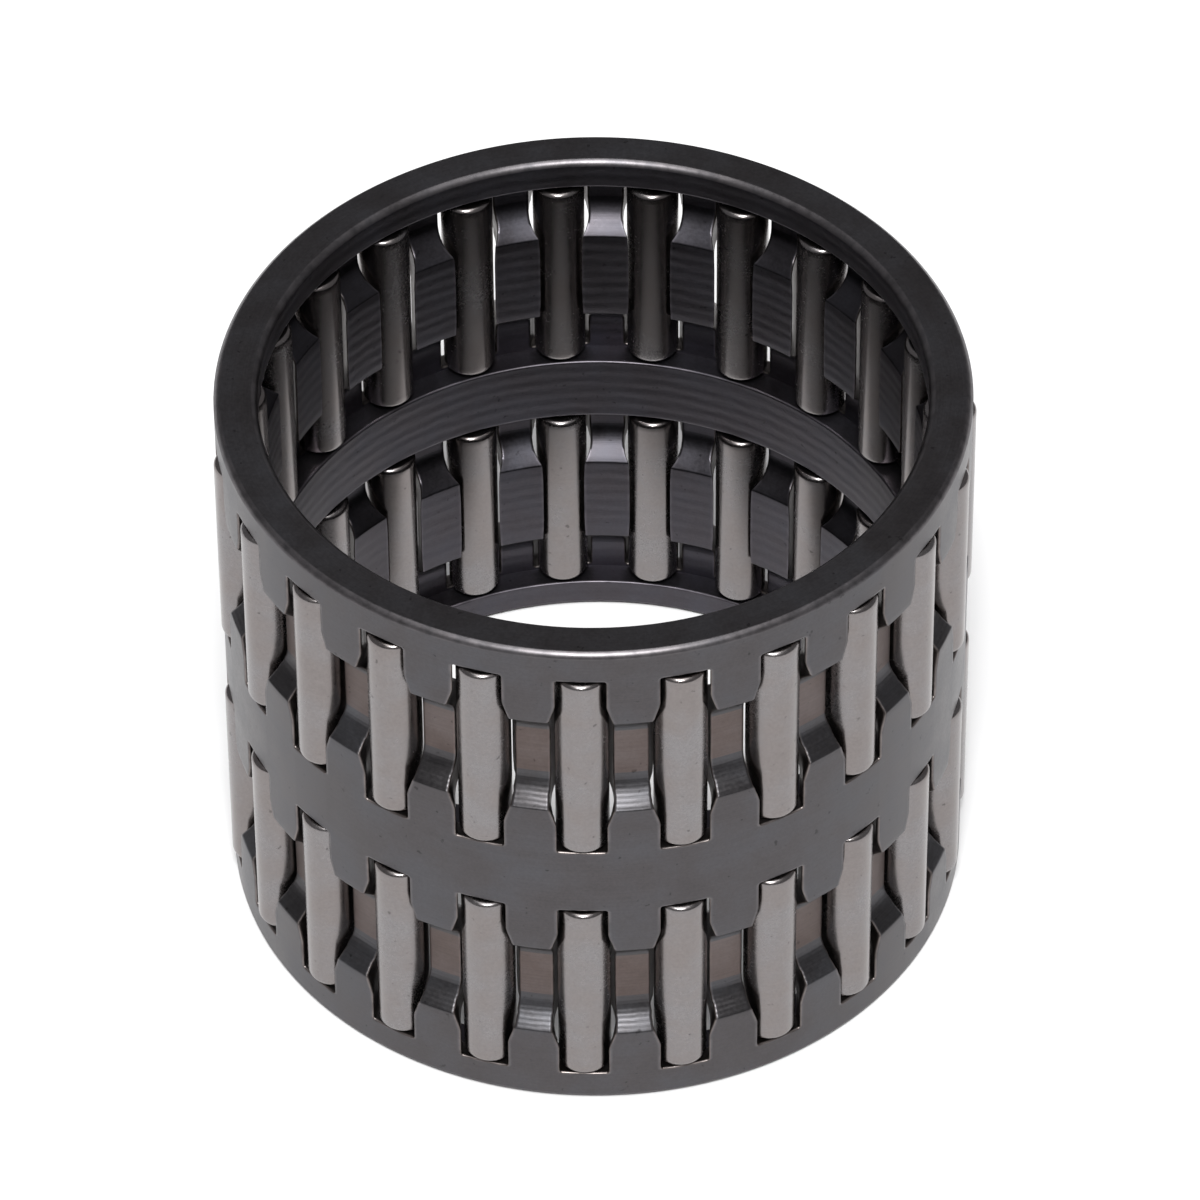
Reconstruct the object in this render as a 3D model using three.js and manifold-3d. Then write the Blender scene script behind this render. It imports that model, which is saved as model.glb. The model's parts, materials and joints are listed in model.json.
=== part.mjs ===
// Needle roller and cage assembly with two rows of needle rollers.
// A one-piece turned steel cage of M-shaped section holds every roller in a pocket of its own.
// Millimetres, +Z along the bearing axis, origin in the middle of the bottom end face.

import * as THREE from 'three';
import { ConvexGeometry } from 'three/addons/geometries/ConvexGeometry.js';
import { mergeVertices } from 'three/addons/utils/BufferGeometryUtils.js';
import Module from 'manifold-3d';

// ---------- Driving dimensions ----------

// The standard needle roller and cage size that runs between a 30 mm shaft and a 35 mm housing.
const SHAFT_DIAMETER = 30;
const HOUSING_DIAMETER = 35;
const WIDTH = 29;
const ROLLERS_PER_ROW = 23;

// Cage rings. Pockets take the rest of the width, shared by two equal rows.
const CAGE_OUTSIDE_RADIUS = 17.25;
const CAGE_BORE_RADIUS = 15.25;
const END_RING = 1.7;
const MIDDLE_RING = 3.8;
const EDGE_CHAMFER = 0.25;

// Bar section, as distances along the axis from the nearest ring. Its slopes run at 45 degrees.
const LUG_LENGTH = 2.65;
const PAD_OUTSIDE_RADIUS = 16.2;
const LUG_INSIDE_RADIUS = 16.4;
const UNDERCUT_LENGTH = 1.85;
const UNDERCUT_INTO_RING = 0.15;

// Pocket: widest at the rollers' pitch radius, and narrower than a roller outside and inside it.
const POCKET_WIDTH_OUTSIDE = 2.29;
const POCKET_WIDTH_AT_PITCH = 2.8;
const POCKET_WIDTH_INSIDE = 1.9;

// Knee relief: where a bar slopes, it is narrower, so that the roller is guided only by the lugs and pads.
const KNEE_START = 1.7;
const KNEE_FULL = 2.25;
const KNEE_EASED = 3.1;
const KNEE_END = 3.9;
const KNEE_WIDTH_OUTSIDE = 2.84;
const KNEE_WIDTH_INSIDE = 2.24;
const KNEE_END_TAPER = 0.42;

// Needle rollers.
const ROLLER_LENGTH = 10.6;
const ROLLER_CHAMFER = 0.25;

// How finely round shapes are divided. The cage has a corner at the middle of every pocket and bar.
const CAGE_SIDES = 2 * ROLLERS_PER_ROW;
const ROLLER_SIDES = 14;

// ---------- Worked out from them ----------

const ROLLER_RADIUS = (HOUSING_DIAMETER - SHAFT_DIAMETER) / 4;
const PITCH_RADIUS = (HOUSING_DIAMETER + SHAFT_DIAMETER) / 4;
const POCKET_LENGTH = (WIDTH - 2 * END_RING - MIDDLE_RING) / 2;
const ROW_BOTTOMS = { lower: END_RING, upper: END_RING + POCKET_LENGTH + MIDDLE_RING };
const CUT_MARGIN = 0.5;
const FRONT = -Math.PI / 2;

const rollerAngle = (index) => FRONT + (index * 2 * Math.PI) / ROLLERS_PER_ROW;

// ---------- Solids ----------

const wasm = await Module();
wasm.setup();

function solidFrom(geometry) {
  const bare = geometry.clone();
  bare.deleteAttribute('normal');
  bare.deleteAttribute('uv');
  const merged = mergeVertices(bare, 1e-4);
  return new wasm.Manifold(new wasm.Mesh({
    numProp: 3,
    vertProperties: merged.attributes.position.array,
    triVerts: new Uint32Array(merged.index.array),
  }));
}

function geometryFrom(solid) {
  const mesh = solid.getMesh();
  const geometry = new THREE.BufferGeometry();
  geometry.setAttribute('position', new THREE.BufferAttribute(mesh.vertProperties, 3));
  geometry.setIndex(new THREE.BufferAttribute(mesh.triVerts, 1));
  geometry.computeVertexNormals();
  return geometry;
}

// Turns a profile of [radius, height] points about Z. The first corner of its outline faces -Y.
function turned(points, sides) {
  const profile = points.map(([radius, height]) => new THREE.Vector2(radius, height));
  const geometry = new THREE.LatheGeometry(profile, sides);
  return geometry.rotateX(Math.PI / 2);
}

// ---------- Cage ----------

// The outside of one row, going up: lug, slope in, pad, slope out, lug.
function outsideOfRow(bottom) {
  const top = bottom + POCKET_LENGTH;
  const slope = CAGE_OUTSIDE_RADIUS - PAD_OUTSIDE_RADIUS;
  return [
    [CAGE_OUTSIDE_RADIUS, bottom + LUG_LENGTH],
    [PAD_OUTSIDE_RADIUS, bottom + LUG_LENGTH + slope],
    [PAD_OUTSIDE_RADIUS, top - LUG_LENGTH - slope],
    [CAGE_OUTSIDE_RADIUS, top - LUG_LENGTH],
  ];
}

// The inside of one row, going down: undercut, slope in to the bore, pad, slope out, undercut.
function insideOfRow(bottom) {
  const top = bottom + POCKET_LENGTH;
  const slope = LUG_INSIDE_RADIUS - CAGE_BORE_RADIUS;
  return [
    [CAGE_BORE_RADIUS, top + UNDERCUT_INTO_RING],
    [LUG_INSIDE_RADIUS, top + UNDERCUT_INTO_RING],
    [LUG_INSIDE_RADIUS, top - UNDERCUT_LENGTH],
    [CAGE_BORE_RADIUS, top - UNDERCUT_LENGTH - slope],
    [CAGE_BORE_RADIUS, bottom + UNDERCUT_LENGTH + slope],
    [LUG_INSIDE_RADIUS, bottom + UNDERCUT_LENGTH],
    [LUG_INSIDE_RADIUS, bottom - UNDERCUT_INTO_RING],
    [CAGE_BORE_RADIUS, bottom - UNDERCUT_INTO_RING],
  ];
}

function cageBlank() {
  const start = [CAGE_BORE_RADIUS + EDGE_CHAMFER, 0];
  return turned([
    start,
    [CAGE_OUTSIDE_RADIUS - EDGE_CHAMFER, 0],
    [CAGE_OUTSIDE_RADIUS, EDGE_CHAMFER],
    ...outsideOfRow(ROW_BOTTOMS.lower),
    ...outsideOfRow(ROW_BOTTOMS.upper),
    [CAGE_OUTSIDE_RADIUS, WIDTH - EDGE_CHAMFER],
    [CAGE_OUTSIDE_RADIUS - EDGE_CHAMFER, WIDTH],
    [CAGE_BORE_RADIUS + EDGE_CHAMFER, WIDTH],
    [CAGE_BORE_RADIUS, WIDTH - EDGE_CHAMFER],
    ...insideOfRow(ROW_BOTTOMS.upper),
    ...insideOfRow(ROW_BOTTOMS.lower),
    [CAGE_BORE_RADIUS, EDGE_CHAMFER],
    start,
  ], CAGE_SIDES);
}

// A width that changes evenly from the bore to the outside, carried on past both faces of the cage.
function taper(widthInside, widthOutside, fromRadius) {
  const slope = (widthOutside - widthInside) / (CAGE_OUTSIDE_RADIUS - CAGE_BORE_RADIUS);
  return widthInside + slope * (fromRadius - CAGE_BORE_RADIUS);
}

// The pocket's section across its roller, whose axis is at 0, 0. +X points away from the bearing axis.
function pocketBore() {
  const toOutside = CAGE_OUTSIDE_RADIUS - PITCH_RADIUS;
  const toBore = CAGE_BORE_RADIUS - PITCH_RADIUS;
  const outline = [
    [toOutside + CUT_MARGIN, POCKET_WIDTH_OUTSIDE],
    [toOutside, POCKET_WIDTH_OUTSIDE],
    [0, POCKET_WIDTH_AT_PITCH],
    [toBore, POCKET_WIDTH_INSIDE],
    [toBore - CUT_MARGIN, POCKET_WIDTH_INSIDE],
  ];
  const leftSide = outline.map(([offset, width]) => new THREE.Vector2(offset, width / 2));
  const rightSide = outline.map(([offset, width]) => new THREE.Vector2(offset, -width / 2));
  const section = new THREE.Shape([...leftSide, ...rightSide.reverse()]);
  return new THREE.ExtrudeGeometry(section, { depth: POCKET_LENGTH, bevelEnabled: false });
}

// One knee relief. along(distance) gives the height that lies that far from the relief's ring.
function kneeRelief(along) {
  const corners = [];
  for (const radius of [CAGE_OUTSIDE_RADIUS + CUT_MARGIN, CAGE_BORE_RADIUS - CUT_MARGIN]) {
    const offset = radius - PITCH_RADIUS;
    const full = taper(KNEE_WIDTH_INSIDE, KNEE_WIDTH_OUTSIDE, radius) / 2;
    const eased = full - KNEE_END_TAPER;
    for (const side of [-1, 1]) {
      corners.push(new THREE.Vector3(offset, side * eased, along(KNEE_START)));
      corners.push(new THREE.Vector3(offset, side * full, along(KNEE_FULL)));
      corners.push(new THREE.Vector3(offset, side * full, along(KNEE_EASED)));
      corners.push(new THREE.Vector3(offset, side * eased, along(KNEE_END)));
    }
  }
  return new ConvexGeometry(corners);
}

function pocketCutter() {
  const fromBottom = (distance) => distance;
  const fromTop = (distance) => POCKET_LENGTH - distance;
  return solidFrom(pocketBore())
    .add(solidFrom(kneeRelief(fromBottom)))
    .add(solidFrom(kneeRelief(fromTop)));
}

function cageGeometry() {
  const cutter = pocketCutter().translate([PITCH_RADIUS, 0, 0]);
  let cage = solidFrom(cageBlank());
  for (const bottom of Object.values(ROW_BOTTOMS)) {
    for (let index = 0; index < ROLLERS_PER_ROW; index += 1) {
      const turn = THREE.MathUtils.radToDeg(rollerAngle(index));
      cage = cage.subtract(cutter.rotate([0, 0, turn]).translate([0, 0, bottom]));
    }
  }
  return geometryFrom(cage);
}

// ---------- Needle rollers ----------

function rollerGeometry() {
  const faceRadius = ROLLER_RADIUS - ROLLER_CHAMFER;
  return turned([
    [0, 0],
    [faceRadius, 0],
    [ROLLER_RADIUS, ROLLER_CHAMFER],
    [ROLLER_RADIUS, ROLLER_LENGTH - ROLLER_CHAMFER],
    [faceRadius, ROLLER_LENGTH],
    [0, ROLLER_LENGTH],
  ], ROLLER_SIDES);
}

function roller(row, index) {
  const steel = new THREE.MeshStandardMaterial({ color: 0x8f8a86, roughness: 0.35, metalness: 1.0 });
  const mesh = new THREE.Mesh(rollerGeometry(), steel);
  const angle = rollerAngle(index);
  const endPlay = (POCKET_LENGTH - ROLLER_LENGTH) / 2;
  mesh.name = `roller_${row}_${String(index + 1).padStart(2, '0')}`;
  mesh.position.set(
    PITCH_RADIUS * Math.cos(angle),
    PITCH_RADIUS * Math.sin(angle),
    ROW_BOTTOMS[row] + endPlay,
  );
  mesh.rotation.z = angle;
  return mesh;
}

// ---------- Assembly ----------

function cage() {
  const steel = new THREE.MeshStandardMaterial({ color: 0x57534f, roughness: 0.45, metalness: 1.0 });
  const mesh = new THREE.Mesh(cageGeometry(), steel);
  mesh.name = 'cage';
  return mesh;
}

const bearing = new THREE.Group();
bearing.add(cage());
for (const row of Object.keys(ROW_BOTTOMS)) {
  for (let index = 0; index < ROLLERS_PER_ROW; index += 1) {
    bearing.add(roller(row, index));
  }
}

export default bearing;
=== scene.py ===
"""Needle roller and cage assembly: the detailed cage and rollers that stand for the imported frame's solids.

The part stands on the floor with its axis along +Z and a roller of each row at -Y. Sizes here are in
millimetres, and points are turned into metres as they are made.
"""

import json
import math

import bmesh
import bpy
from mathutils import Matrix, Vector


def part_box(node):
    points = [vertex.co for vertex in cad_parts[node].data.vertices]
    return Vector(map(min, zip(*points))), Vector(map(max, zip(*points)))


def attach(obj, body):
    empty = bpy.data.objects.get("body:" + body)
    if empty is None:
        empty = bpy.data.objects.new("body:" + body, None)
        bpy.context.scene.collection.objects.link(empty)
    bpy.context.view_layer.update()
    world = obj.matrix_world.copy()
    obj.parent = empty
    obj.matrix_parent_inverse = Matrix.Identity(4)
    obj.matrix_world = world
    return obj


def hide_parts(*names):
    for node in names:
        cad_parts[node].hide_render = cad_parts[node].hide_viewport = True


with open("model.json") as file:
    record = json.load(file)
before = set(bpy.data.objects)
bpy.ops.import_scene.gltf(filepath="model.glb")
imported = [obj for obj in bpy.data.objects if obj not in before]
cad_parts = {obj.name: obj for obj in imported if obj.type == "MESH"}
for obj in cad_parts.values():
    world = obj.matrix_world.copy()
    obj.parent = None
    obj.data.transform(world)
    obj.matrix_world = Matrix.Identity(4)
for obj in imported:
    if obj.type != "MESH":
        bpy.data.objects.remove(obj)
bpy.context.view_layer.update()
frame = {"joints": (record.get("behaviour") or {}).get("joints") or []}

MM = 0.001

# ---------- Sizes that the frame gives ----------

ROWS = ("lower", "upper")
axles = {joint["child"]: Vector(joint["pos_m"]) / MM for joint in frame["joints"]}
rollers_per_row = len(axles) // len(ROWS)
pitch_angle = 2 * math.pi / rollers_per_row


def roller_name(row, index):
    return f"roller_{row}_{index + 1:02d}"


first_axle = {row: axles[roller_name(row, 0)] for row in ROWS}
pitch_radius = math.hypot(first_axle["upper"].x, first_axle["upper"].y)
first_angle = math.atan2(first_axle["upper"].y, first_axle["upper"].x)

roller_low, roller_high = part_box(roller_name("upper", 0))
roller_length = (roller_high.z - roller_low.z) / MM
roller_radius = (roller_high.y - roller_low.y) / 2 / MM

cage_low, cage_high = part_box("cage")
cage_width = (cage_high.z - cage_low.z) / MM
cage_outside = -cage_low.y / MM

# ---------- Sizes of the cage's section ----------

CAGE_BORE = 15.25
EDGE_CHAMFER = 0.24
END_PLAY = 0.15
POCKET_LENGTH = roller_length + 2 * END_PLAY
ROW_BOTTOM = {row: first_axle[row].z - POCKET_LENGTH / 2 for row in ROWS}

# Along a bar, as distances from the nearest ring: a lug outside and an undercut inside, then a slope inwards
# to the pad in the middle of the bar.
LUG_LENGTH = 2.65
PAD_OUTSIDE = 16.2
OUTER_SLOPE_END = LUG_LENGTH + cage_outside - PAD_OUTSIDE
LUG_INSIDE = 16.4
UNDERCUT_LENGTH = 1.85
UNDERCUT_INTO_RING = 0.15
INNER_SLOPE_END = UNDERCUT_LENGTH + LUG_INSIDE - CAGE_BORE
CREST_ROUNDING = 0.05
FOOT_ROUNDING = 0.4

# Across a pocket: a bore round the roller, with a mouth outside that is narrower than the nominal roller.
POCKET_BORE_RADIUS = 1.40
POCKET_MOUTH = 2.29
POCKET_CORNER = 0.12

# The bars are relieved where they slope, and the lugs' free corners are rounded.
KNEE_BORE_RADIUS = 1.43
KNEE_MOUTH = 2.8
KNEE_OPENS = (1.7, 2.5)
KNEE_CLOSES = (3.15, 3.9)
LUG_CORNER = 0.12

# ---------- How finely the meshes are divided ----------

BAR_SHARES = (0.0, 0.06, 0.3, 0.5, 0.7, 0.94, 1.0)
POCKET_COLUMNS = 6
CORNER_TURNS = (90.0, 60.0, 30.0, 0.0)
BROKEN_EDGE = 0.05
EDGE_GUARD = 0.08
GUARDED = BROKEN_EDGE + EDGE_GUARD

# A pocket's edge angle and half width depend on each other, so they are worked out in turn this many times.
EDGE_ROUNDS = 5

# A pocket's edge at each depth: the share of the way from outside to inside, the length kept clear of both
# sheets, how far the edge is broken, and its wear.
POCKET_LEVELS = (
    (0.0, 0.0, BROKEN_EDGE, 1.0),
    (0.0, BROKEN_EDGE, 0.0, 1.0),
    (0.0, GUARDED, 0.0, 0.0),
    (0.25, GUARDED, 0.0, 0.0),
    (0.5, GUARDED, 0.0, 0.0),
    (0.75, GUARDED, 0.0, 0.0),
    (1.0, GUARDED, 0.0, 0.0),
    (1.0, BROKEN_EDGE, 0.0, 1.0),
    (1.0, 0.0, BROKEN_EDGE, 1.0),
)

# The cage's material zones.
TURNED, SLOPE, PAD, BORED, BORED_SLOPE, POCKET_WALL = range(6)

# Faces that meet at more than this many degrees keep a sharp edge.
CAGE_SHARP_ANGLE = 50
ROLLER_SHARP_ANGLE = 40

ROLLER_SIDES = 48
ROLLER_EDGE = 0.25
ROLLER_EDGE_STEPS = 5

# ---------- Small helpers ----------


def mix(start, end, share):
    return start + (end - start) * share


def ramp(value, start, end):
    return min(1.0, max(0.0, (value - start) / (end - start)))


def even_steps(start, end, count):
    """The ends of count equal steps from start to end, without start itself."""
    return [mix(start, end, (step + 1) / count) for step in range(count)]


def at(radius, angle, height):
    """A point in metres, from its radius and height in millimetres."""
    return (radius * math.cos(angle) * MM, radius * math.sin(angle) * MM, height * MM)


class Skin:
    """A mesh in the making. Points in the same place are joined, and each has an edge-wear value."""

    SAME_PLACE = 1e-8

    def __init__(self):
        self.indices, self.points, self.wear, self.faces, self.zones = {}, [], [], [], []

    def point(self, place, wear=0.0):
        key = tuple(round(value / self.SAME_PLACE) for value in place)
        if key not in self.indices:
            self.indices[key] = len(self.points)
            self.points.append(place)
            self.wear.append(0.0)
        index = self.indices[key]
        self.wear[index] = max(self.wear[index], wear)
        return index

    def strip(self, first, second, zone, closed=False):
        """Faces between two lines of as many points."""
        for i in range(len(first) - (0 if closed else 1)):
            j = (i + 1) % len(first)
            corners = list(dict.fromkeys((first[i], first[j], second[j], second[i])))
            self.faces.append(corners)
            self.zones.append(zone)

    def strips(self, lines, zone, closed=False):
        for first, second in zip(lines, lines[1:]):
            self.strip(first, second, zone, closed)

    def mesh(self, name, materials, sharp_angle):
        mesh = bpy.data.meshes.new(name)
        mesh.from_pydata(self.points, [], self.faces)
        for material in materials:
            mesh.materials.append(material)
        mesh.polygons.foreach_set("material_index", self.zones)
        mesh.attributes.new("wear", "FLOAT", "POINT").data.foreach_set("value", self.wear)
        mesh.polygons.foreach_set("use_smooth", [True] * len(mesh.polygons))
        shell = bmesh.new()
        shell.from_mesh(mesh)
        bmesh.ops.recalc_face_normals(shell, faces=shell.faces)
        shell.to_mesh(mesh)
        shell.free()
        mesh.set_sharp_from_angle(angle=math.radians(sharp_angle))
        return mesh


def add_piece(name, mesh, place, body, node):
    """A piece that is shown, rides a body and stands for one CAD node."""
    piece = bpy.data.objects.new(name, mesh)
    bpy.context.scene.collection.objects.link(piece)
    piece.location = place
    piece.modifiers.new("face_weighted_normals", "WEIGHTED_NORMAL").keep_sharp = True
    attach(piece, body)
    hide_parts(node)


# ---------- The cage's bars and pockets ----------


def from_ring(distance):
    """How far the nearest ring is, at a distance along a pocket from its lower end."""
    return min(distance, POCKET_LENGTH - distance)


def sloped(distance, start_radius, slope_start, slope_end, start_rounding, end_rounding):
    """A radius that falls at 45 degrees between two distances from the nearest ring, with rounded corners."""
    near = from_ring(distance)
    radius = start_radius - min(max(near - slope_start, 0.0), slope_end - slope_start)
    for corner, rounding, turn in ((slope_start, start_rounding, -1), (slope_end, end_rounding, 1)):
        into_corner = max(rounding - abs(near - corner), 0.0)
        radius += turn * into_corner ** 2 / (4 * rounding)
    return radius


OUTER_SLOPE = (LUG_LENGTH, OUTER_SLOPE_END, CREST_ROUNDING, FOOT_ROUNDING)
INNER_SLOPE = (UNDERCUT_LENGTH, INNER_SLOPE_END, FOOT_ROUNDING, CREST_ROUNDING)


def outside_radius(distance):
    return sloped(distance, cage_outside, *OUTER_SLOPE)


def inside_radius(distance):
    return sloped(distance, LUG_INSIDE, *INNER_SLOPE)


def stations(slope_start, slope_end, start_rounding, end_rounding):
    """Distances along a pocket where a sheet is divided, which are closer at its corners and slopes."""
    half = [POCKET_CORNER * (1 - math.sin(math.radians(turn))) for turn in CORNER_TURNS]
    half += even_steps(POCKET_CORNER, slope_start - start_rounding, 8)
    half += even_steps(slope_start - start_rounding, slope_start + start_rounding, 3)
    half += even_steps(slope_start + start_rounding, slope_end - end_rounding, 4)
    half += even_steps(slope_end - end_rounding, slope_end + end_rounding, 3)
    half += even_steps(slope_end + end_rounding, POCKET_LENGTH / 2, 4)
    return half + [POCKET_LENGTH - distance for distance in reversed(half[:-1])]


OUTER_STATIONS = stations(*OUTER_SLOPE)
INNER_STATIONS = stations(*INNER_SLOPE)
LAST_STATION = len(OUTER_STATIONS) - 1


def pocket_half_width(above_pitch, distance):
    """Half a pocket's width, at a height above the pitch radius and a distance along the pocket."""
    near = from_ring(distance)
    knee = ramp(near, *KNEE_OPENS) * (1 - ramp(near, *KNEE_CLOSES))
    bore = mix(POCKET_BORE_RADIUS, KNEE_BORE_RADIUS, knee)
    half = math.sqrt(bore ** 2 - above_pitch ** 2)
    if above_pitch > 0:
        lug_corner = LUG_CORNER * ramp(near, LUG_LENGTH - LUG_CORNER, LUG_LENGTH) ** 2 / 2
        half = max(half, mix(POCKET_MOUTH, KNEE_MOUTH, knee) / 2 + lug_corner)
    into_corner = max(POCKET_CORNER - near, 0.0)
    return half - POCKET_CORNER + math.sqrt(POCKET_CORNER ** 2 - into_corner ** 2)


def pocket_edge(station, share, clear, broken):
    """(radius, angle from the pocket's middle, distance along it) of one point on one of POCKET_LEVELS."""
    outer = outside_radius(OUTER_STATIONS[station])
    inner = inside_radius(INNER_STATIONS[station])
    depth = mix(clear, outer - inner - clear, share) / (outer - inner)
    radius = mix(outer, inner, depth)
    distance = mix(OUTER_STATIONS[station], INNER_STATIONS[station], depth)
    turn = math.radians(CORNER_TURNS[min(station, LAST_STATION - station, len(CORNER_TURNS) - 1)])
    angle = math.asin(POCKET_MOUTH / 2 / radius)
    for _ in range(EDGE_ROUNDS):
        half = pocket_half_width(radius * math.cos(angle) - pitch_radius, distance)
        angle = math.asin((half + broken * math.cos(turn)) / radius)
    towards_ring = 1 if station > LAST_STATION / 2 else -1
    return radius, angle, distance + towards_ring * broken * math.sin(turn)


POCKET_EDGES = [[pocket_edge(station, *level[:3]) for station in range(LAST_STATION + 1)]
                for level in POCKET_LEVELS]
OUTER_EDGE, INNER_EDGE = POCKET_EDGES[0], POCKET_EDGES[-1]


def pocket_middle(index):
    return first_angle + (index % rollers_per_row) * pitch_angle


def bar_angles(index, edge_angle):
    """The angles of a sheet's columns on the bar that follows a pocket."""
    start, end = pocket_middle(index) + edge_angle, pocket_middle(index + 1) - edge_angle
    if end < start:
        end += 2 * math.pi
    return [mix(start, end, share) for share in BAR_SHARES]


def pocket_angles(index, edge_angle):
    """The angles of a ring's columns across the end of a pocket, with its last one left to the bar."""
    middle = pocket_middle(index)
    return [mix(middle - edge_angle, middle + edge_angle, column / POCKET_COLUMNS)
            for column in range(POCKET_COLUMNS)]


def pocket_loop(skin, index, edge, bottom, wear):
    """Points round a pocket at one depth: along its lower end, up, back along its upper end, and down."""
    middle = pocket_middle(index)

    def end_line(radius, edge_angle, distance):
        angles = pocket_angles(index, edge_angle) + [middle + edge_angle]
        return [at(radius, angle, bottom + distance) for angle in angles]

    rising = [at(radius, middle + angle, bottom + distance) for radius, angle, distance in edge[1:-1]]
    falling = [at(radius, middle - angle, bottom + distance) for radius, angle, distance in edge[1:-1]]
    places = end_line(*edge[0]) + rising + end_line(*edge[-1])[::-1] + falling[::-1]
    return [skin.point(place, wear) for place in places]


def add_sheet(skin, index, bottom, edge, end_zone, slope_zone, pad_zone):
    """The outer or inner sheet of the bar that follows a pocket."""
    lines = [[skin.point(at(radius, angle, bottom + distance)) for angle in bar_angles(index, edge_angle)]
             for radius, edge_angle, distance in edge]
    end_radius, pad_radius = edge[0][0], edge[LAST_STATION // 2][0]
    for station in range(LAST_STATION):
        radii = {round(edge[station][0], 6), round(edge[station + 1][0], 6)}
        flat_zone = end_zone if round(end_radius, 6) in radii else pad_zone
        zone = flat_zone if len(radii) == 1 else slope_zone
        skin.strip(lines[station], lines[station + 1], zone)


def add_row(skin, bottom):
    """One row's bars, as an outer and an inner sheet, and the walls of its pockets."""
    for index in range(rollers_per_row):
        add_sheet(skin, index, bottom, OUTER_EDGE, TURNED, SLOPE, PAD)
        add_sheet(skin, index, bottom, INNER_EDGE, BORED, BORED_SLOPE, BORED)
        loops = [pocket_loop(skin, index, edge, bottom, level[3])
                 for edge, level in zip(POCKET_EDGES, POCKET_LEVELS)]
        skin.strips(loops, POCKET_WALL, closed=True)


# ---------- The cage's rings ----------

OUTER_END, INNER_END = OUTER_EDGE[0], INNER_EDGE[0]


def add_ring(skin, sections, zone):
    """Bands right round the cage through (radius, height, wear) sections, in line with bars and pockets."""
    lines = []
    for radius, height, wear in sections:
        edge_angle = INNER_END[1] if radius < LUG_INSIDE + EDGE_GUARD else OUTER_END[1]
        angles = []
        for index in range(rollers_per_row):
            angles += pocket_angles(index, edge_angle) + bar_angles(index, edge_angle)[:-1]
        lines.append([skin.point(at(radius, angle, height), wear) for angle in angles])
    skin.strips(lines, zone, closed=True)


def broken_edge(radius, height, radius_step, height_step):
    """Sections from a face to a worn broken edge, where the face runs along radius_step or height_step."""
    return [
        (radius + radius_step * EDGE_GUARD, height + height_step * EDGE_GUARD, 0.0),
        (radius, height, 1.0),
    ]


def undercut(face, up):
    """From a ring's bore to the foot of its undercut. Its face has pockets above it (1) or below it (-1)."""
    wall = face - up * UNDERCUT_INTO_RING
    return [
        *broken_edge(CAGE_BORE, wall - up * BROKEN_EDGE, 0, -up),
        *broken_edge(CAGE_BORE + BROKEN_EDGE, wall, 1, 0)[::-1],
        (LUG_INSIDE, wall, 0.0),
        (INNER_END[0], face + up * INNER_END[2], 0.0),
    ]


def bottom_ring():
    """The bottom ring's outside and end face, and its bore, up to the pockets."""
    face = ROW_BOTTOM["lower"]
    outside = [
        (OUTER_END[0], face + OUTER_END[2], 0.0),
        (OUTER_END[0], face + OUTER_END[2] - EDGE_GUARD, 0.0),
        *broken_edge(cage_outside, EDGE_CHAMFER, 0, 1),
        *broken_edge(cage_outside - EDGE_CHAMFER, 0.0, -1, 0)[::-1],
        *broken_edge(CAGE_BORE + EDGE_CHAMFER, 0.0, 1, 0),
        (CAGE_BORE, EDGE_CHAMFER, 1.0),
    ]
    inside = [
        *broken_edge(CAGE_BORE, EDGE_CHAMFER, 0, 1)[::-1],
        *undercut(face, 1),
    ]
    return outside, inside


def middle_ring():
    """The middle ring's outside and inside, between the pockets of both rows."""
    lower_face, upper_face = ROW_BOTTOM["lower"] + POCKET_LENGTH, ROW_BOTTOM["upper"]
    outside = [
        (OUTER_END[0], lower_face - OUTER_END[2], 0.0),
        (OUTER_END[0], lower_face - OUTER_END[2] + EDGE_GUARD, 0.0),
        (OUTER_END[0], upper_face + OUTER_END[2] - EDGE_GUARD, 0.0),
        (OUTER_END[0], upper_face + OUTER_END[2], 0.0),
    ]
    inside = undercut(lower_face, -1)[::-1] + undercut(upper_face, 1)
    return outside, inside


def upside_down(sections):
    return [(radius, cage_width - height, wear) for radius, height, wear in sections]


def cage_mesh(materials):
    skin = Skin()
    for outside, inside in (bottom_ring(), map(upside_down, bottom_ring()), middle_ring()):
        add_ring(skin, outside, TURNED)
        add_ring(skin, inside, BORED)
    for row in ROWS:
        add_row(skin, ROW_BOTTOM[row])
    return skin.mesh("cage_detailed", materials, CAGE_SHARP_ANGLE)


# ---------- The rollers ----------


def roller_mesh(materials):
    """A needle roller about its own middle, with rounded edges that run into flat end faces."""
    half = roller_length / 2
    profile = [(0.0, half), (roller_radius / 2, half)]
    for step in range(ROLLER_EDGE_STEPS + 1):
        turn = math.radians(90 * step / ROLLER_EDGE_STEPS)
        radius = roller_radius - ROLLER_EDGE * (1 - math.sin(turn))
        profile.append((radius, half - ROLLER_EDGE * (1 - math.cos(turn))))
    profile.append((roller_radius, half - 2 * ROLLER_EDGE))
    profile += [(radius, -height) for radius, height in reversed(profile)]
    skin = Skin()
    turns = [2 * math.pi * side / ROLLER_SIDES for side in range(ROLLER_SIDES)]
    skin.strips([[skin.point(at(radius, turn, height)) for turn in turns] for radius, height in profile],
                0, closed=True)
    return skin.mesh("needle_roller", materials, ROLLER_SHARP_ANGLE)


# ---------- Steel ----------


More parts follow.
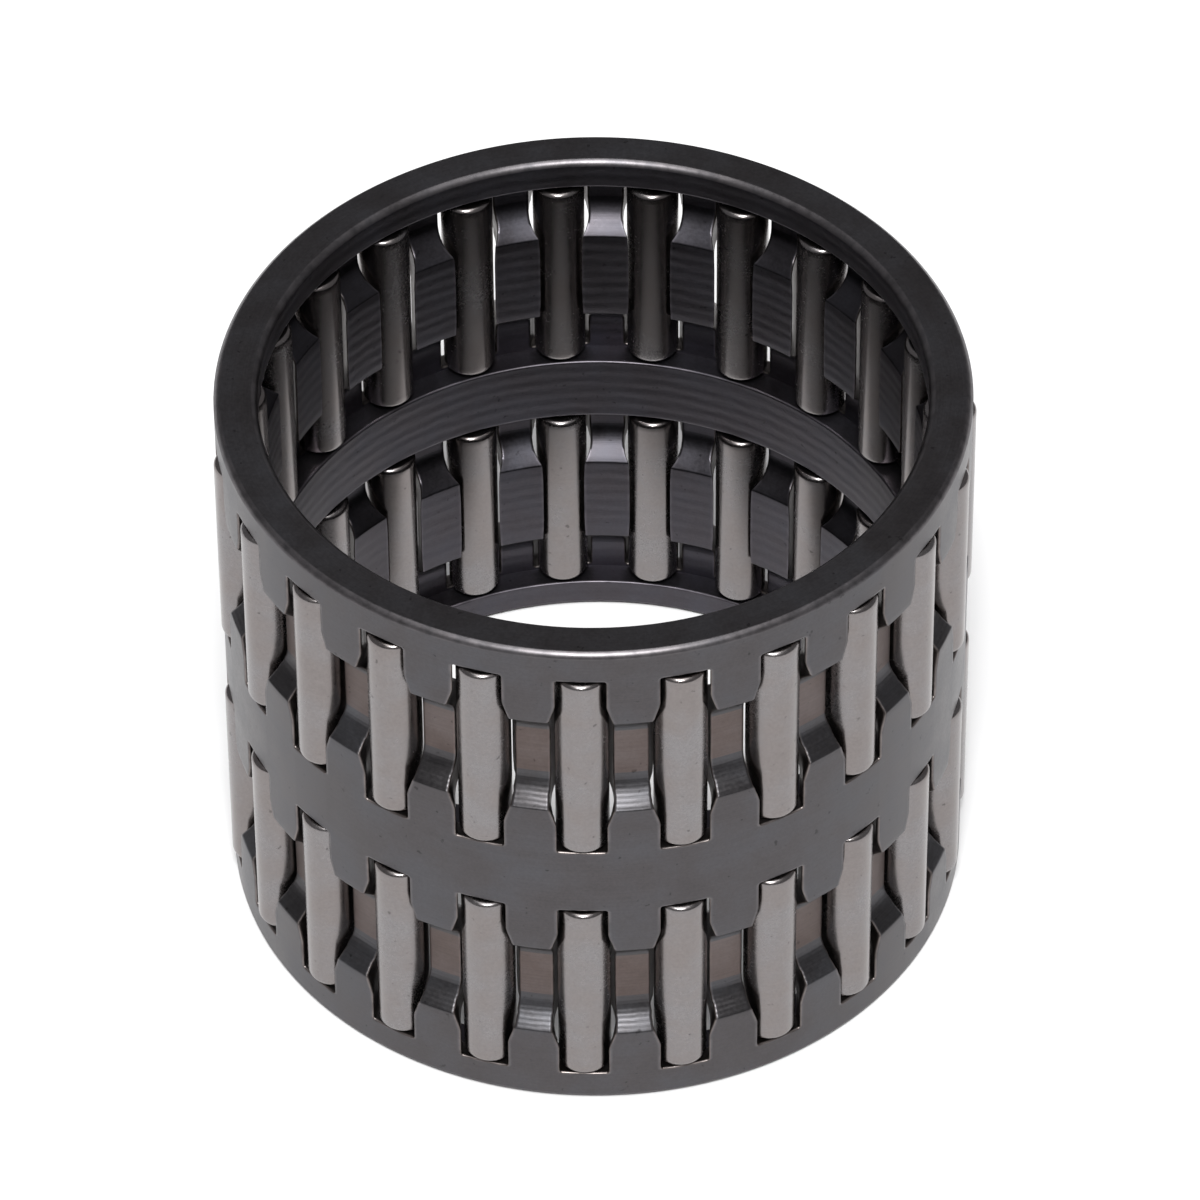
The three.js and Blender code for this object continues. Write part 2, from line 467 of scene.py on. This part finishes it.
class Nodes:
    """A material's node tree, with short ways to add nodes that take numbers, colours or other outputs."""

    def __init__(self, name):
        self.material = bpy.data.materials.new(name)
        self.material.use_nodes = True
        self.tree = self.material.node_tree
        self.shader = self.tree.nodes["Principled BSDF"]

    def feed(self, socket, value):
        if isinstance(value, bpy.types.NodeSocket):
            self.tree.links.new(value, socket)
        else:
            socket.default_value = value

    def math(self, operation, *values):
        node = self.tree.nodes.new("ShaderNodeMath")
        node.operation = operation
        for socket, value in zip(node.inputs, values):
            self.feed(socket, value)
        return node.outputs[0]

    def noise(self, place, scale, detail=2.0, roughness=0.5):
        node = self.tree.nodes.new("ShaderNodeTexNoise")
        self.feed(node.inputs["Vector"], place)
        node.inputs["Scale"].default_value = scale
        node.inputs["Detail"].default_value = detail
        node.inputs["Roughness"].default_value = roughness
        return node.outputs["Fac"]

    def spread(self, value, low, high, new_low=0.0, new_high=1.0):
        """The value moved from between low and high to between new_low and new_high, and held there."""
        node = self.tree.nodes.new("ShaderNodeMapRange")
        for socket, number in zip(node.inputs[:5], (value, low, high, new_low, new_high)):
            self.feed(socket, number)
        return node.outputs[0]

    def blend(self, share, first, second, mode="MIX"):
        node = self.tree.nodes.new("ShaderNodeMix")
        node.data_type = "RGBA"
        node.blend_type = mode
        self.feed(node.inputs[0], share)
        self.feed(node.inputs[6], first)
        self.feed(node.inputs[7], second)
        return node.outputs[2]

    def bump(self, height, depth, strength, under=None):
        node = self.tree.nodes.new("ShaderNodeBump")
        node.inputs["Distance"].default_value = depth
        node.inputs["Strength"].default_value = strength
        self.feed(node.inputs["Height"], height)
        if under is not None:
            self.feed(node.inputs["Normal"], under)
        return node.outputs["Normal"]


# The steel's patterns: how many times each repeats in a metre, and lengths in metres.
FILM_SCALE = 330.0
GRAIN_SCALE = 7000.0
PIT_SCALE = 2600.0
RUB_SCALE = 1500.0
WANDER_SCALE = 1100.0
RIDGE_PATCH_SCALE = 900.0
DRIFT_SCALE = 90.0
DRIFT_REACH = 0.0004
PATTERN_SHIFT = 0.4

# How dark a pit and how light a rubbed edge turns, and how tall the bumps are, in millimetres.
PIT_SHARE = 0.6
PIT_TINT = (0.3, 0.3, 0.3)
STAIN_TINT = (0.95, 1.0, 1.04)
RUBBED_SHARE = 0.7
LINE_HEIGHT = 0.02
GRAIN_HEIGHT = 0.0012
GRAIN_STRENGTH = 0.7
RIDGE_WANDER = 3.0


def tinted(colour, tint=(1.0, 1.0, 1.0)):
    """A colour with each channel multiplied by a tint, and an alpha."""
    return (*(channel * share for channel, share in zip(colour, tint)), 1.0)


def lathe_place(nodes):
    """(Place, (radius, height, slow drift), height) in metres of a surface that was turned about Z.

    The pattern is shifted by an amount that is each piece's own, so that no two rollers are marked alike.
    """
    coordinates = nodes.tree.nodes.new("ShaderNodeTexCoord").outputs["Object"]
    own_number = nodes.tree.nodes.new("ShaderNodeObjectInfo").outputs["Random"]
    shift = nodes.math("MULTIPLY", own_number, PATTERN_SHIFT)
    shifted = nodes.tree.nodes.new("ShaderNodeVectorMath")
    nodes.feed(shifted.inputs[0], coordinates)
    nodes.feed(shifted.inputs[1], shift)
    place = shifted.outputs["Vector"]
    split = nodes.tree.nodes.new("ShaderNodeSeparateXYZ")
    nodes.feed(split.inputs[0], coordinates)
    x, y, z = split.outputs
    radius = nodes.math("SQRT", nodes.math("ADD", nodes.math("MULTIPLY", x, x), nodes.math("MULTIPLY", y, y)))
    drift = nodes.math("MULTIPLY", nodes.noise(place, DRIFT_SCALE, 1.0), DRIFT_REACH)
    joined = nodes.tree.nodes.new("ShaderNodeCombineXYZ")
    for socket, value in zip(joined.inputs, (radius, nodes.math("ADD", z, shift), drift)):
        nodes.feed(socket, value)
    return place, joined.outputs[0], z


def steel(name, colour, roughness, lines_per_mm, line_contrast, mottling, worn=None, ridges=None):
    """Steel with turning marks that run round Z, an uneven oil film, fine grain and pits.

    worn is how many times lighter its rubbed edges are, and ridges the pitch and depth of coarser turning.
    """
    nodes = Nodes(name)
    place, lathe, height = lathe_place(nodes)
    lines = nodes.noise(lathe, lines_per_mm / MM, 3.0, 0.65)
    film = nodes.noise(place, FILM_SCALE, 4.0, 0.6)
    grain = nodes.noise(place, GRAIN_SCALE, 2.0, 0.6)
    pits = nodes.spread(nodes.noise(place, PIT_SCALE, 2.0, 0.5), 0.70, 0.76)

    tone = nodes.math("MULTIPLY", nodes.spread(film, 0.33, 0.68, 1 - mottling, 1 + mottling),
                      nodes.spread(lines, 0.3, 0.7, 1 - line_contrast, 1 + line_contrast))
    tone = nodes.math("MULTIPLY", tone, nodes.spread(grain, 0.3, 0.7, 0.93, 1.07))
    stained = nodes.blend(nodes.spread(film, 0.4, 0.65), tinted(colour), tinted(colour, STAIN_TINT))
    shade = nodes.blend(1.0, stained, tone, "MULTIPLY")
    shade = nodes.blend(nodes.math("MULTIPLY", pits, PIT_SHARE), shade, tinted(colour, PIT_TINT))

    shine = nodes.spread(film, 0.3, 0.75, roughness - 0.05, roughness + 0.06)
    shine = nodes.math("ADD", shine, nodes.spread(grain, 0.3, 0.7, -0.03, 0.03))
    if worn:
        wear = nodes.tree.nodes.new("ShaderNodeAttribute")
        wear.attribute_name = "wear"
        patchy = nodes.spread(nodes.noise(place, RUB_SCALE, 3.0), 0.35, 0.62, 0.25, 1.0)
        rubbed = nodes.math("MULTIPLY", wear.outputs["Fac"], patchy)
        lighter = tinted(colour, (worn, worn, worn))
        shade = nodes.blend(nodes.math("MULTIPLY", rubbed, RUBBED_SHARE), shade, lighter)

    normal = nodes.bump(lines, line_contrast * LINE_HEIGHT * MM, 1.0)
    normal = nodes.bump(grain, GRAIN_HEIGHT * MM, GRAIN_STRENGTH, normal)
    if ridges:
        pitch, depth = ridges
        wander = nodes.math("MULTIPLY", nodes.noise(place, WANDER_SCALE, 2.0), RIDGE_WANDER)
        turns = nodes.math("ADD", nodes.math("MULTIPLY", height, 2 * math.pi / (pitch * MM)), wander)
        patchy = nodes.spread(nodes.noise(place, RIDGE_PATCH_SCALE, 3.0), 0.35, 0.6, 0.35, 1.0)
        waves = nodes.math("MULTIPLY", nodes.math("SINE", turns), patchy)
        normal = nodes.bump(waves, depth * MM, 1.0, normal)

    nodes.shader.inputs["Metallic"].default_value = 1.0
    nodes.feed(nodes.shader.inputs["Base Color"], shade)
    nodes.feed(nodes.shader.inputs["Roughness"], shine)
    nodes.feed(nodes.shader.inputs["Normal"], normal)
    return nodes.material


# ---------- The part ----------

FINE_RIDGES = (0.17, 0.0015)
COARSE_RIDGES = (0.68, 0.006)

cage_steels = {
    TURNED: steel("cage_turned_steel", (0.088, 0.082, 0.085), roughness=0.38, lines_per_mm=20.0,
                  line_contrast=0.06, mottling=0.10, worn=1.9),
    SLOPE: steel("cage_slope_steel", (0.082, 0.078, 0.081), roughness=0.35, lines_per_mm=20.0,
                 line_contrast=0.10, mottling=0.15, worn=2.0, ridges=FINE_RIDGES),
    PAD: steel("cage_pad_steel", (0.124, 0.098, 0.091), roughness=0.40, lines_per_mm=14.0,
               line_contrast=0.08, mottling=0.20, worn=1.6),
    BORED: steel("cage_bored_steel", (0.070, 0.064, 0.072), roughness=0.43, lines_per_mm=16.0,
                 line_contrast=0.06, mottling=0.12, worn=1.9, ridges=COARSE_RIDGES),
    BORED_SLOPE: steel("cage_bored_slope_steel", (0.045, 0.042, 0.047), roughness=0.36, lines_per_mm=18.0,
                       line_contrast=0.06, mottling=0.15, worn=2.4),
    POCKET_WALL: steel("cage_pocket_steel", (0.10, 0.088, 0.084), roughness=0.38, lines_per_mm=8.0,
                       line_contrast=0.05, mottling=0.15, worn=2.3),
}
ground_steel = steel("roller_ground_steel", (0.232, 0.210, 0.204), roughness=0.24, lines_per_mm=30.0,
                     line_contrast=0.03, mottling=0.07)

add_piece("cage_steel_sleeve", cage_mesh([cage_steels[zone] for zone in sorted(cage_steels)]), (0, 0, 0),
          "cage", "cage")
needle = roller_mesh([ground_steel])
for name, axle in axles.items():
    add_piece(f"needle_{name}", needle, axle * MM, name, name)

# ---------- Floor, light and camera ----------


def plain_material(name, brightness, roughness):
    material = bpy.data.materials.new(name)
    material.use_nodes = True
    shader = material.node_tree.nodes["Principled BSDF"]
    shader.inputs["Base Color"].default_value = (brightness, brightness, brightness, 1.0)
    shader.inputs["Roughness"].default_value = roughness
    return material


def add_floor(half_width):
    mesh = bpy.data.meshes.new("floor")
    corners = [(-half_width, -half_width, 0), (half_width, -half_width, 0),
               (half_width, half_width, 0), (-half_width, half_width, 0)]
    mesh.from_pydata(corners, [], [(0, 1, 2, 3)])
    mesh.materials.append(plain_material("pale_floor", 0.86, 0.7))
    floor = bpy.data.objects.new("floor", mesh)
    bpy.context.scene.collection.objects.link(floor)


def towards(azimuth, elevation):
    """The direction from the part at an azimuth, from -Y towards +X, and an elevation, in degrees."""
    azimuth, elevation = math.radians(azimuth), math.radians(elevation)
    return Vector((math.sin(azimuth) * math.cos(elevation), -math.cos(azimuth) * math.cos(elevation),
                   math.sin(elevation)))


def add_light(name, azimuth, elevation, breadth, strength):
    """A soft round light that is far away, which is breadth degrees across as the part sees it."""
    light = bpy.data.lights.new(name, "SUN")
    light.angle = math.radians(breadth)
    light.energy = strength
    lamp = bpy.data.objects.new(name, light)
    bpy.context.scene.collection.objects.link(lamp)
    lamp.rotation_euler = towards(azimuth, elevation).to_track_quat("Z", "Y").to_euler()


def set_surroundings(seen, lighting):
    """A grey room that lights the part, which the camera sees as a paler backdrop."""
    world = bpy.data.worlds.new("studio")
    bpy.context.scene.world = world
    world.use_nodes = True
    nodes, links = world.node_tree.nodes, world.node_tree.links
    background = nodes["Background"]
    brightness = nodes.new("ShaderNodeMapRange")
    brightness.inputs["To Min"].default_value = lighting
    brightness.inputs["To Max"].default_value = seen
    links.new(nodes.new("ShaderNodeLightPath").outputs["Is Camera Ray"], brightness.inputs["Value"])
    links.new(brightness.outputs[0], background.inputs["Strength"])
    background.inputs["Color"].default_value = (0.98, 0.97, 1.0, 1.0)


def add_camera(azimuth, elevation, roll, distance, lens, shift):
    camera = bpy.data.cameras.new("camera")
    camera.lens = lens
    camera.sensor_width = 36.0
    camera.shift_x, camera.shift_y = shift
    camera.clip_start, camera.clip_end = 0.01, 20.0
    viewer = bpy.data.objects.new("camera", camera)
    bpy.context.scene.collection.objects.link(viewer)
    back = towards(azimuth, elevation)
    turn = back.to_track_quat("Z", "Y").to_matrix().to_4x4() @ Matrix.Rotation(math.radians(roll), 4, "Z")
    viewer.matrix_world = Matrix.Translation(middle + back * distance) @ turn
    bpy.context.scene.camera = viewer


middle = (cage_low + cage_high) / 2
add_floor(half_width=3.0)
set_surroundings(seen=0.95, lighting=0.22)
add_light("main_light", azimuth=1, elevation=58, breadth=13, strength=3.25)
add_light("overhead_light", azimuth=0, elevation=84, breadth=35, strength=0.8)
add_light("key_light", azimuth=0, elevation=47, breadth=6.5, strength=0.33)
add_camera(azimuth=2.3, elevation=44.8, roll=-0.5, distance=0.4118, lens=265.5, shift=(0.0039, 0.0113))

bpy.context.scene.view_settings.view_transform = "Standard"
